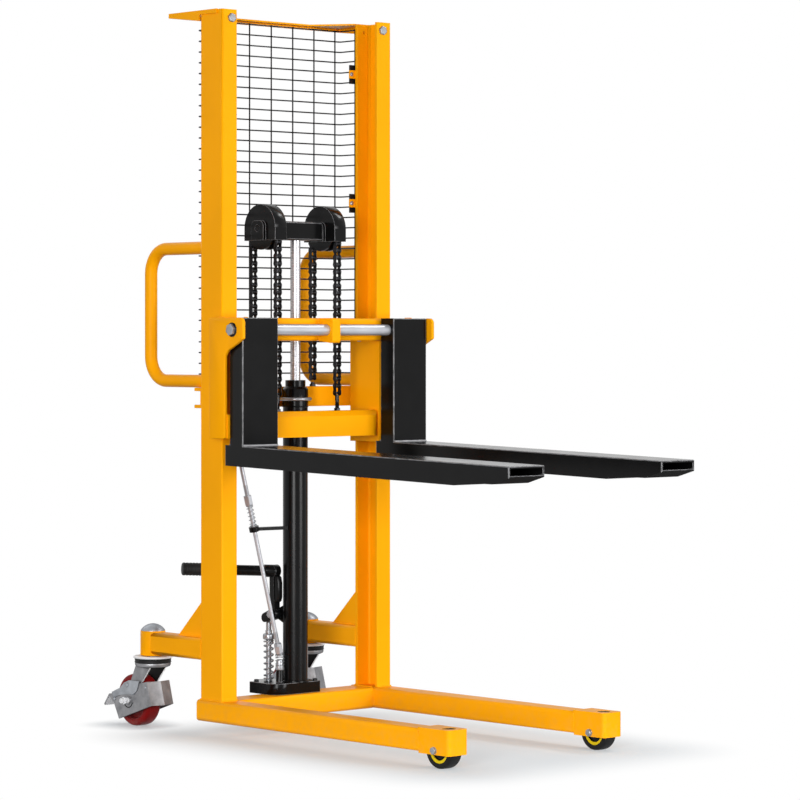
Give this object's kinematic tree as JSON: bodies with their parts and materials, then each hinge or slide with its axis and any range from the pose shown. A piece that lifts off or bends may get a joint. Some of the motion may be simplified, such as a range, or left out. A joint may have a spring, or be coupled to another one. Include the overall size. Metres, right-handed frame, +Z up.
{
  "type": "pallet stacker",
  "caption": "Manual pallet stacker with straddle legs, a foot-pumped chain lift, sliding forks, a wire guard, push handles and braked swivel casters.",
  "frame": {"origin": "on the floor, under the middle of the machine's overall length and width", "axes": "+X to the right as seen from the fork side, +Y to the rear where the operator stands, +Z up; the forks point along -Y"},
  "size_m": [0.62, 1.417, 1.701],
  "materials": {
    "yellow_paint": "semi-gloss paint",
    "black_paint": "satin black paint",
    "rubber_block": "matte",
    "bright_steel": "polished",
    "zinc_steel": "zinc plated",
    "chain_steel": "dark oiled steel",
    "roller_steel": "ground steel",
    "load_wheel": "black tread on a plastic rim",
    "red_wheel": "glossy red tread"
  },
  "bodies": {
    "mast": {"left_mast_post": "yellow_paint", "right_mast_post": "yellow_paint", "top_plate": "yellow_paint", "mid_crossbar": "yellow_paint", "base_crossbar": "yellow_paint", "legs": "yellow_paint", "leg_tip_brackets": "yellow_paint", "load_wheel_axles": "zinc_steel", "rear_arms": "yellow_paint", "caster_sockets": "yellow_paint", "caster_caps": "bright_steel", "push_handles": "yellow_paint", "guard_mesh": "black_paint", "guard_clips": "rubber_block", "stop_bolts": "zinc_steel", "cylinder_tube": "black_paint", "cylinder_gland": "black_paint", "cylinder_clamp": "zinc_steel", "pump_block": "black_paint", "release_guide": "black_paint", "pivot_brackets": "black_paint", "fixed_chain_anchors": "zinc_steel", "rear_chain_runs": "chain_steel", "pump_spring": "zinc_steel", "rod_spring": "zinc_steel"},
    "crosshead": {"piston_rod": "bright_steel", "crosshead_beam": "black_paint", "pulley_covers": "black_paint", "pulley_axles": "zinc_steel", "chain_wraps": "chain_steel", "front_chain_runs": "chain_steel"},
    "left_pulley": {"left_chain_pulley": "black_paint"},
    "right_pulley": {"right_chain_pulley": "black_paint"},
    "carriage": {"end_plates": "yellow_paint", "roller_plates": "yellow_paint", "upper_crossbar": "yellow_paint", "lower_crossbars": "yellow_paint", "rod_bracket": "yellow_paint", "fork_rod": "bright_steel", "rod_bolts": "zinc_steel", "roller_axles": "zinc_steel", "carriage_chain_anchors": "zinc_steel"},
    "left_fork_arm": {"left_fork": "black_paint"},
    "right_fork_arm": {"right_fork": "black_paint"},
    "left_load_wheel_body": {"left_load_wheel": "load_wheel"},
    "right_load_wheel_body": {"right_load_wheel": "load_wheel"},
    "pump_lever_body": {"pump_lever": "black_paint"},
    "pump_plunger_body": {"pump_plunger": "zinc_steel"},
    "release_lever_body": {"release_lever": "black_paint"},
    "release_rod_body": {"release_rod": "zinc_steel"},
    "left_upper_roller_body": {"left_upper_roller": "roller_steel"},
    "right_upper_roller_body": {"right_upper_roller": "roller_steel"},
    "left_lower_roller_body": {"left_lower_roller": "roller_steel"},
    "right_lower_roller_body": {"right_lower_roller": "roller_steel"},
    "left_caster": {"left_caster_yoke": "zinc_steel"},
    "left_caster_wheel_body": {"left_caster_wheel": "red_wheel"},
    "left_caster_brake_body": {"left_caster_brake": "zinc_steel"},
    "right_caster": {"right_caster_yoke": "zinc_steel"},
    "right_caster_wheel_body": {"right_caster_wheel": "red_wheel"},
    "right_caster_brake_body": {"right_caster_brake": "zinc_steel"}
  },
  "joints": [
    {"name": "piston_lift", "type": "slide", "parent": "mast", "child": "crosshead", "axis": [0, 0, 1], "range_m": [-0.263, 0.3075], "deforming": ["rear_chain_runs"]},
    {"name": "carriage_lift", "type": "slide", "parent": "crosshead", "child": "carriage", "axis": [0, 0, 1], "range_m": [-0.265, 0.31], "deforming": ["front_chain_runs"]},
    {"name": "left_fork_slide", "type": "slide", "parent": "carriage", "child": "left_fork_arm", "axis": [1, 0, 0], "range_m": [0, 0.16]},
    {"name": "right_fork_slide", "type": "slide", "parent": "carriage", "child": "right_fork_arm", "axis": [1, 0, 0], "range_m": [-0.16, 0]},
    {"name": "pump_pedal", "type": "hinge", "parent": "mast", "child": "pump_lever_body", "pos_m": [-0.049, 0.3465, 0.273], "axis": [-1, 0, 0], "range_deg": [0, 25], "stiffness_Nm_per_rad": 20, "springref_deg": -17.19},
    {"name": "pump_plunge", "type": "slide", "parent": "mast", "child": "pump_plunger_body", "axis": [0, 0, 1], "range_m": [-0.0132, 0], "deforming": ["pump_spring"]},
    {"name": "release_pull", "type": "hinge", "parent": "mast", "child": "release_lever_body", "pos_m": [-0.187, 0.3685, 0.754], "axis": [1, 0, 0], "range_deg": [0, 12], "stiffness_Nm_per_rad": 3, "springref_deg": -28.65},
    {"name": "release_press", "type": "slide", "parent": "mast", "child": "release_rod_body", "axis": [-0.2461, 0.0102, 0.9692], "range_m": [-0.0085, 0], "deforming": ["rod_spring"]},
    {"name": "left_pulley_turn", "type": "hinge", "parent": "crosshead", "child": "left_pulley", "pos_m": [-0.0934, 0.318, 1.193], "axis": [1, 0, 0], "range_deg": [-450, 450]},
    {"name": "left_upper_roller_turn", "type": "hinge", "parent": "carriage", "child": "left_upper_roller_body", "pos_m": [-0.236, 0.3105, 0.938], "axis": [1, 0, 0], "range_deg": [-1250, 1250]},
    {"name": "left_lower_roller_turn", "type": "hinge", "parent": "carriage", "child": "left_lower_roller_body", "pos_m": [-0.236, 0.3105, 0.724], "axis": [1, 0, 0], "range_deg": [-1250, 1250]},
    {"name": "left_load_wheel_roll", "type": "hinge", "parent": "mast", "child": "left_load_wheel_body", "pos_m": [-0.24, -0.4585, 0.041], "axis": [1, 0, 0], "continuous": true},
    {"name": "left_caster_swivel", "type": "hinge", "parent": "mast", "child": "left_caster", "pos_m": [-0.2425, 0.5595, 0.173], "axis": [0, 0, 1], "continuous": true},
    {"name": "left_caster_roll", "type": "hinge", "parent": "left_caster", "child": "left_caster_wheel_body", "pos_m": [-0.2425, 0.6125, 0.0625], "axis": [1, 0, 0], "continuous": true},
    {"name": "left_brake_press", "type": "hinge", "parent": "left_caster", "child": "left_caster_brake_body", "pos_m": [-0.2425, 0.6125, 0.0625], "axis": [-1, 0, 0], "range_deg": [0, 8]},
    {"name": "right_pulley_turn", "type": "hinge", "parent": "crosshead", "child": "right_pulley", "pos_m": [0.0934, 0.318, 1.193], "axis": [1, 0, 0], "range_deg": [-450, 450]},
    {"name": "right_upper_roller_turn", "type": "hinge", "parent": "carriage", "child": "right_upper_roller_body", "pos_m": [0.236, 0.3105, 0.938], "axis": [1, 0, 0], "range_deg": [-1250, 1250]},
    {"name": "right_lower_roller_turn", "type": "hinge", "parent": "carriage", "child": "right_lower_roller_body", "pos_m": [0.236, 0.3105, 0.724], "axis": [1, 0, 0], "range_deg": [-1250, 1250]},
    {"name": "right_load_wheel_roll", "type": "hinge", "parent": "mast", "child": "right_load_wheel_body", "pos_m": [0.24, -0.4585, 0.041], "axis": [1, 0, 0], "continuous": true},
    {"name": "right_caster_swivel", "type": "hinge", "parent": "mast", "child": "right_caster", "pos_m": [0.2425, 0.5595, 0.173], "axis": [0, 0, 1], "continuous": true},
    {"name": "right_caster_roll", "type": "hinge", "parent": "right_caster", "child": "right_caster_wheel_body", "pos_m": [0.2425, 0.6125, 0.0625], "axis": [1, 0, 0], "continuous": true},
    {"name": "right_brake_press", "type": "hinge", "parent": "right_caster", "child": "right_caster_brake_body", "pos_m": [0.2425, 0.6125, 0.0625], "axis": [-1, 0, 0], "range_deg": [0, 8]}
  ],
  "couplings": [
    {"joint": "carriage_lift", "follows": "piston_lift", "ratio": 1},
    {"joint": "pump_plunge", "follows": "pump_pedal", "m_per_rad": -0.029},
    {"joint": "release_press", "follows": "release_pull", "m_per_rad": -0.03714},
    {"joint": "left_pulley_turn", "follows": "piston_lift", "rad_per_m": -22.222},
    {"joint": "left_upper_roller_turn", "follows": "piston_lift", "rad_per_m": 64.516},
    {"joint": "left_lower_roller_turn", "follows": "piston_lift", "rad_per_m": -64.516},
    {"joint": "right_pulley_turn", "follows": "piston_lift", "rad_per_m": -22.222},
    {"joint": "right_upper_roller_turn", "follows": "piston_lift", "rad_per_m": 64.516},
    {"joint": "right_lower_roller_turn", "follows": "piston_lift", "rad_per_m": -64.516}
  ]
}
